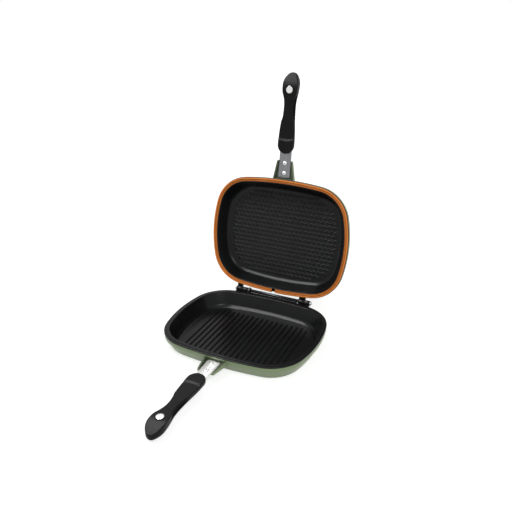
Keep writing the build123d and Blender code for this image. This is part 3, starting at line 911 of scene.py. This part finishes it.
# ------------------------------------------------------------------ grips
def grip_half_width(u):
    """Half-width of the grip at a distance from its end nearest the pan."""
    head_place = GRIP_LENGTH - HEAD_REACH
    if u < SHOULDER:
        return sqrt(SHOULDER**2 - (SHOULDER - u)**2)
    if u > head_place:
        return oval(u - head_place)
    if u < WAIST_PLACE:
        first, last, t = SHOULDER, WAIST, (u - SHOULDER) / (WAIST_PLACE - SHOULDER)
    else:
        first, last, t = WAIST, HEAD, (u - WAIST_PLACE) / (head_place - WAIST_PLACE)
    return first + (last - first) * (2 * t * t if t < 0.5 else 1 - 2 * (1 - t)**2)


def oval(beyond):
    """Half-width of the oval head beyond its widest place: a long side arc, then the tip arc."""
    rise = HEAD_REACH - TIP_RADIUS
    side_radius = (rise**2 + HEAD**2 - TIP_RADIUS**2) / (2 * (HEAD - TIP_RADIUS))
    turn = atan2(rise, side_radius - HEAD)
    if beyond < rise + TIP_RADIUS * sin(turn):
        return HEAD - side_radius + sqrt(side_radius**2 - beyond**2)
    return sqrt(max(TIP_RADIUS**2 - (beyond - rise)**2, 0.0))


def end_round(u, radius):
    """How far a rounded edge has dropped near either end of the grip."""
    near = min(u, GRIP_LENGTH - u)
    return radius - sqrt(radius**2 - (radius - near)**2) if near < radius else 0.0


def grip_face_height(u):
    """Height of the inner face: flat, a gentle rise to the magnet, then a curve away."""
    if u < WAIST_PLACE:
        return GRIP_FACE
    if u < MAGNET_PLACE:
        return GRIP_FACE + (MAGNET_SEAT - GRIP_FACE) * (u - WAIST_PLACE) / (MAGNET_PLACE - WAIST_PLACE)
    run, drop = GRIP_LENGTH + TIP_OVERRUN - MAGNET_PLACE, MAGNET_SEAT - TIP_TOP
    radius = (run**2 + drop**2) / (2 * drop)
    return MAGNET_SEAT - radius + sqrt(radius**2 - (u - MAGNET_PLACE)**2)


def grip_back_height(u):
    """Height of the back: two straight runs that deepen towards the tip."""
    if u < WAIST_PLACE:
        return GRIP_BACK + BACK_RISE * (1 - u / WAIST_PLACE)
    return GRIP_BACK + (TIP_BACK - GRIP_BACK) * (u - WAIST_PLACE) / (GRIP_LENGTH - WAIST_PLACE)


def scooped_width(u):
    """Half-width of the inner face, where the flank hollows may narrow it."""
    narrowing = WAIST - SCOOP_WIDTH
    radius = (SCOOP_HALF**2 + narrowing**2) / (2 * narrowing)
    from_middle = min(abs(u - SCOOP_PLACE), radius)
    return min(grip_half_width(u), SCOOP_WIDTH + radius - sqrt(radius**2 - from_middle**2))


def grip_section(u):
    """Right half of the grip's section at u, from the middle of the face to the middle of the back."""
    width, upper = grip_half_width(u), scooped_width(u)
    high = grip_face_height(u) - end_round(u, FACE_ROUND)
    low = grip_back_height(u) + end_round(u, END_ROUND) + BACK_CROWN
    tall = high - low
    face_round = min(FACE_ROUND, upper * FACE_ROUND_SHARES[0], tall * FACE_ROUND_SHARES[1])
    back_round = min(BACK_ROUND, width * BACK_ROUND_SHARES[0], tall * BACK_ROUND_SHARES[1])
    centre_x, centre_z = width - back_round, low + back_round
    ledge = max(high - SCOOP_DEPTH, (high + low) / 2)
    points = [((upper - face_round) * i / FACE_POINTS, high) for i in range(FACE_POINTS)]
    for i in range(EDGE_POINTS):
        turn = pi / 2 * (1 - i / (EDGE_POINTS - 1))
        points.append((upper - face_round * (1 - cos(turn)), high - face_round * (1 - sin(turn))))
    back_start = -asin(min(max((centre_z - ledge) / back_round, 0.0), 1.0))
    outer = centre_x + back_round * cos(back_start)
    flank = high - face_round - ledge
    soft = min(SCOOP_FILLET, outer - upper, flank / 2)
    points += [(upper, ledge + (flank + soft) / 2), (upper, ledge + soft),
               (upper + soft * FILLET_BULGE, ledge + soft * FILLET_BULGE),
               (upper + soft, ledge), (outer - soft * FILLET_BULGE, ledge)]
    for i in range(BACK_POINTS):
        turn = back_start - (pi / 2 + back_start) * i / (BACK_POINTS - 1)
        height = centre_z + back_round * sin(turn)
        points.append((centre_x + back_round * cos(turn), height if i else height - HAIR))
    for i in range(CROWN_POINTS):
        share = (i + 1) / CROWN_POINTS
        points.append((centre_x * (1 - share), low - BACK_CROWN * share))
    return points


def hood(u, x):
    """Rise of the hood over the face: full near the pan, sloped off along an arc."""
    beyond = u - HOOD_REACH - HOOD_ARC + sqrt(HOOD_ARC**2 - x**2)
    share = min(max(1 - beyond / HOOD_SLOPE, 0.0), 1.0)
    return (HOOD_TOP - GRIP_FACE) * share


def grip_stations():
    """Distances of the sections: close at both ends and across the hood's slope."""
    head_place = GRIP_LENGTH - HEAD_REACH
    end = [SHOULDER * (1 - cos(pi / 2 * i / END_STEPS)) for i in range(END_STEPS + 1)]
    end[0] = HAIR
    slope = [HOOD_REACH - SLOPE_LEAD + SLOPE_STEP * i for i in range(SLOPE_COUNT)]
    middle = [slope[-1] + (head_place - slope[-1]) * i / MIDDLE_STEPS for i in range(1, MIDDLE_STEPS)]
    tip = [GRIP_LENGTH - HEAD_REACH * (1 - cos(pi / 2 * i / TIP_STEPS)) for i in range(TIP_STEPS, -1, -1)]
    tip[-1] = GRIP_LENGTH - HAIR
    return end + slope + middle + tip


def grip_ring(u):
    """Whole section at u, its face raised by the hood, the raise fading out down the edges."""
    right = []
    for i, (x, z) in enumerate(grip_section(u)):
        share = min(max((FACE_POINTS + EDGE_POINTS - i) / EDGE_POINTS, 0), 1)
        right.append((x, -HALF_DEPTH - GRIP_START - u, z + hood(u, x) * share))
    return right + [(-x, y, z) for x, y, z in reversed(right[1:-1])]


def grip(half):
    """Moulded grip: one skin through its sections, with hood, flank hollows and a curved tip."""
    skin = tube(half + "_grip_moulding", [grip_ring(u) for u in grip_stations()])

    def along(place):
        return -HALF_DEPTH - GRIP_START - place.y

    for end in (HAIR, GRIP_LENGTH - HAIR):
        edit(skin, "EDGE", lambda ends: all(abs(along(p) - end) < HAIR / 2 for p in ends))
        bpy.ops.mesh.edge_face_add()
        leave()
    dress(skin, black_phenolic, matt_phenolic_painted_shade)
    # Faces in the flank hollows get the rougher phenolic with painted shade.
    for face in skin.data.polygons:
        centre = face.center / MM
        u = along(centre)
        past_edge = abs(centre.x) > scooped_width(u) - FACE_ROUND * HOLLOW_SHADE_EDGE
        above_foot = centre.z > grip_face_height(u) - SCOOP_DEPTH - HOLLOW_SHADE_BELOW
        if abs(u - SCOOP_PLACE) < SCOOP_HALF and past_edge and above_foot:
            face.material_index = 1
    return smooth(settle(skin, PLACES[half]), SOFT_SHARP)


# ------------------------------------------------------------------ stays, screws and magnets
def machined_copy(name, node_name, edge_mm, material):
    """Copy of a machined solid with its sharp edges broken."""
    twin = copied(frame["nodes"][node_name])
    twin.parent = None
    twin.name = twin.data.name = name
    edit(twin)
    bpy.ops.mesh.remove_doubles(threshold=CAD_MERGE_GAP * MM)
    bpy.ops.mesh.dissolve_limited(angle_limit=radians(FLAT_ANGLE))
    leave()
    round_edges(twin, edge_mm, angle=BROKEN_EDGE_ANGLE)
    return smooth(dress(twin, material), SOFT_SHARP)


def circle_points(radius):
    """Plan points round a circle."""
    turns = [2 * pi * i / ROUND_STEPS for i in range(ROUND_STEPS)]
    return [(radius * cos(t), radius * sin(t)) for t in turns]


def turned(name, radius, path, *materials):
    """Round piece from a path of (inset, height) stations, closed by a flat foot."""
    stations = [(inset, z, 0) + tuple(corner) for inset, z, *corner in path]
    foot_z = stations[0][1]
    top = dress(disc(name, circle_points(radius), foot_z), *materials)
    follow(top, rounded_path(stations), True)
    foot = dress(disc("foot", circle_points(radius), foot_z), *materials)
    follow(foot, [(0, foot_z, 0), (FOOT_INSET, foot_z, 0)], False)
    return join([top, foot], name)


def stay_screw(name):
    """Crowned screw head with a cross recess, at the origin."""
    rim_height, rim_round = SCREW_RIM
    crown_inset, crown_height, crown_round = SCREW_CROWN
    head = turned(name, SCREW_RADIUS, [
        (0, -SCREW_SINK), (0, SCREW_HEIGHT * rim_height, rim_round),
        (crown_inset, SCREW_HEIGHT * crown_height, crown_round),
        (SCREW_FLAT[0], SCREW_HEIGHT), (SCREW_FLAT[1], SCREW_HEIGHT)], zinc_plate, zinc_recess_painted_shade)
    smooth(head)
    for turn in (0, pi / 2):
        blade = start(bpy.ops.mesh.primitive_cube_add, "recess", size=1.0, location=(0, 0, SCREW_HEIGHT * MM),
                      rotation=(0, 0, turn + RECESS_TURN))
        blade.scale = [size * MM for size in RECESS]
        # The recess faces get the zinc with painted shade.
        cut(head, dress(settle(blade), zinc_plate, zinc_recess_painted_shade, on=1))
    return head


def stay_screws(half):
    """The pair of screws on one half's stay."""
    model = stay_screw("screw")
    heads = []
    for distance in SCREW_PLACES:
        place = Vector((0, -HALF_DEPTH - distance, STAY_TOP)) * MM
        heads.append(settle(copied(model), Matrix.Translation(place)))
    bpy.data.objects.remove(model)
    return smooth(settle(join(heads, half + "_bracket_screws"), PLACES[half]))


def magnet_place():
    """Where the lip of a magnet's cup lies, in its half's own frame."""
    return Matrix.Translation(Vector((0, -HALF_DEPTH - GRIP_START - MAGNET_PLACE, MAGNET_FACE)) * MM)


def magnet_cup(half):
    """Steel cup with a rounded lip and a hollow for the magnet."""
    # The cup's nickel is painted dark: painted shade round the magnet.
    cup = turned(half + "_catch_cup", CUP_RADIUS, [
        (0, CUP_FOOT), (0, 0, CUP_ROUNDS[0]), (CUP_WALL, 0, CUP_ROUNDS[1]), (CUP_WALL, CUP_FLOOR),
        (CUP_WALL + CUP_LEDGE, CUP_FLOOR)], nickel_painted_shade)
    return smooth(settle(cup, PLACES[half] @ magnet_place()))


def magnet(half):
    """Disc magnet with a broken edge."""
    rings = [(inset, -MAGNET_SINK) for inset in MAGNET_RINGS]
    face = turned(half + "_catch_magnet", CUP_RADIUS - CUP_WALL - MAGNET_GAP,
                  [(0, CUP_FLOOR), (0, -MAGNET_SINK, MAGNET_EDGE)] + rings, nickel_plate)
    return smooth(settle(face, PLACES[half] @ magnet_place()))


# ------------------------------------------------------------------ camera, light and floor
# Azimuth, elevation and roll in degrees, and where the rim's centre lies from the camera: to the side,
# up and ahead, in millimetres.
CAMERA_ANGLES = (26.29958, 25.01996, -0.84115)
CAMERA_OFFSETS = (-20.94766, -140.91240, 1225.71837)
CAMERA_LENS = 41.912
SENSOR_WIDTH = 36.0

# Soft lamps: name, place and target in metres, size in metres, watts and what the lamp works on.
LAMPS = (("key_softbox", (1.3, -1.5, 1.9), (0, 0, 0.1), (1.0, 1.0), 22, "both"),
         ("top_softbox", (-0.6, -0.2, 2.2), (0, 0, 0.1), (1.5, 1.0), 18, "fill"),
         ("strip_softbox", (-1.05, -0.7, 2.2), (-0.1, -0.7, 0.1), (3.4, 0.6), 96, "gloss"))

# How strongly the white room lights the object, next to how white it looks.
ROOM_LIGHT = 0.4
# Floor: width in metres, grey of the paper, and its own glow near the object and further out.
FLOOR_WIDTH = 12.0
PAPER_GREY = 0.6
GLOW_DISTANCES = (0.5, 2.5)
GLOW = (0.7, 0.95)


def studio_camera():
    """Camera above the grip's end, looking down over the open pan, with its picture plane tilted slightly."""
    azimuth, elevation, roll = (radians(angle) for angle in CAMERA_ANGLES)
    forward = Vector((-sin(azimuth) * cos(elevation), cos(azimuth) * cos(elevation), -sin(elevation)))
    right = forward.cross(Vector((0, 0, 1))).normalized()
    up = right.cross(forward)
    side = cos(roll) * right + sin(roll) * up
    rise = cos(roll) * up - sin(roll) * right
    off_side, off_rise, distance = CAMERA_OFFSETS
    data = bpy.data.cameras.new("studio_camera")
    data.sensor_width = SENSOR_WIDTH
    data.lens = CAMERA_LENS
    camera = bpy.data.objects.new("studio_camera", data)
    bpy.context.scene.collection.objects.link(camera)
    camera.matrix_world = Matrix((side, rise, -forward)).transposed().to_4x4()
    camera.location = (Vector((0, 0, DEPTH)) - side * off_side - rise * off_rise - forward * distance) * MM
    bpy.context.scene.camera = camera


def softbox(name, place, target, size, power, work):
    """Soft lamp. One for gloss only draws bright lines; one for fill only leaves no glare."""
    data = bpy.data.lights.new(name, "AREA")
    data.shape = "RECTANGLE"
    data.size, data.size_y = size
    data.energy = power
    light = bpy.data.objects.new(name, data)
    bpy.context.scene.collection.objects.link(light)
    light.location = place
    light.rotation_euler = (Vector(target) - Vector(place)).to_track_quat("-Z", "Y").to_euler()
    light.visible_diffuse = work != "gloss"
    light.visible_glossy = work != "fill"


def seen_rays(tree):
    """One for rays that show the background: straight to the camera, mirrored or through glass."""
    rays = node(tree, "ShaderNodeLightPath")
    seen = node(tree, "ShaderNodeMath", {0: rays.outputs["Is Camera Ray"], 1: rays.outputs["Is Glossy Ray"]},
                operation="MAXIMUM")
    return node(tree, "ShaderNodeMath", {0: seen.outputs[0], 1: rays.outputs["Is Transmission Ray"]},
                operation="MAXIMUM").outputs[0]


def white_room():
    """Plain world: white to the eye and in reflections, softer as light on the object."""
    world = bpy.data.worlds.new("studio_white")
    bpy.context.scene.world = world
    world.use_nodes = True
    tree = world.node_tree
    tree.nodes.clear()
    strength = node(tree, "ShaderNodeMapRange", {"Value": seen_rays(tree)},
                    {"To Min": ROOM_LIGHT, "To Max": 1.0})
    background = node(tree, "ShaderNodeBackground", {"Strength": strength.outputs[0]},
                      {"Color": (1, 1, 1, 1)})
    node(tree, "ShaderNodeOutputWorld", {"Surface": background.outputs[0]})


def pale_floor():
    """Floor that looks white in the open and keeps a soft shadow of the object."""
    floor = start(bpy.ops.mesh.primitive_plane_add, "studio_floor", size=FLOOR_WIDTH)
    material, tree = new_material("pale_paper")
    paper = node(tree, "ShaderNodeBsdfDiffuse", values={"Color": (PAPER_GREY, PAPER_GREY, PAPER_GREY, 1)})
    place = node(tree, "ShaderNodeTexCoord")
    away = node(tree, "ShaderNodeVectorMath", {0: place.outputs["Object"]}, operation="LENGTH")
    further = node(tree, "ShaderNodeMapRange", {"Value": away.outputs["Value"]},
                   {"From Min": GLOW_DISTANCES[0], "From Max": GLOW_DISTANCES[1],
                    "To Min": GLOW[0], "To Max": GLOW[1]})
    lift = node(tree, "ShaderNodeMath", {0: seen_rays(tree), 1: further.outputs[0]}, operation="MULTIPLY")
    glow = node(tree, "ShaderNodeEmission", {"Strength": lift.outputs[0]}, {"Color": (1, 1, 1, 1)})
    both = node(tree, "ShaderNodeAddShader", {0: paper.outputs[0], 1: glow.outputs[0]})
    node(tree, "ShaderNodeOutputMaterial", {"Surface": both.outputs[0]})
    floor.data.materials.append(material)


# ------------------------------------------------------------------ putting it together
bpy.context.scene.view_settings.view_transform = "Standard"
studio_camera()
white_room()
pale_floor()
for lamp in LAMPS:
    softbox(*lamp)

mount(pan_shell(), "pan", "cast_aluminium_green", "pan_casting")
mount(pan_ribs(), "pan", "cast_aluminium_green", "pan_casting")
mount(lid_shell(), "lid", "cast_aluminium_green", "lid_casting")
mount(lid_waves(), "lid", "cast_aluminium_green", "lid_casting")
mount(lid_seal(), "lid", "seal_silicone", "lid_seal")

# The lid's stays get the darker copy of the steel: painted shade.
for half, stainless in (("pan", pan_stainless), ("lid", lid_stainless_painted_shade)):
    stay = machined_copy(half + "_stay_bar", half + "_stay", STAY_EDGE, stainless)
    mount(stay, half, "stay_steel", half + "_stay")
    mount(stay_screws(half), half, "screw_steel", half + "_stay_screws")
    mount(grip(half), half, "grip_phenolic", half + "_grip")
    screw = machined_copy(half + "_grip_bolt", half + "_grip_screw", BOLT_EDGE, zinc_plate)
    mount(screw, half, "screw_steel", half + "_grip_screw")
    mount(magnet_cup(half), half, "magnet_nickel", half + "_magnet_cup")
    mount(magnet(half), half, "magnet_nickel", half + "_magnet")

for node_name, piece_name, edge, material, slot in (
        ("hinge_pin", "hinge_pin_turned", 0.35, turned_steel, "pin_steel"),
        ("hinge_pin_clip", "hinge_spring_clip", 0.15, turned_steel, "pin_steel"),
        ("hinge_washers", "hinge_washer_pair", 0.15, turned_steel, "pin_steel"),
        # The spacer tube's steel is painted dark: a painted reflection.
        ("hinge_spacer_tube", "hinge_tube_polished", 0.3, dark_painted_tube_steel, "tube_steel"),
        ("hinge_collar", "hinge_collar_moulded", 0.4, black_nylon, "collar_plastic")):
    piece = machined_copy(piece_name, node_name, edge, material)
    mount(piece, frame["nodes"][node_name]["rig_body"], slot, node_name)
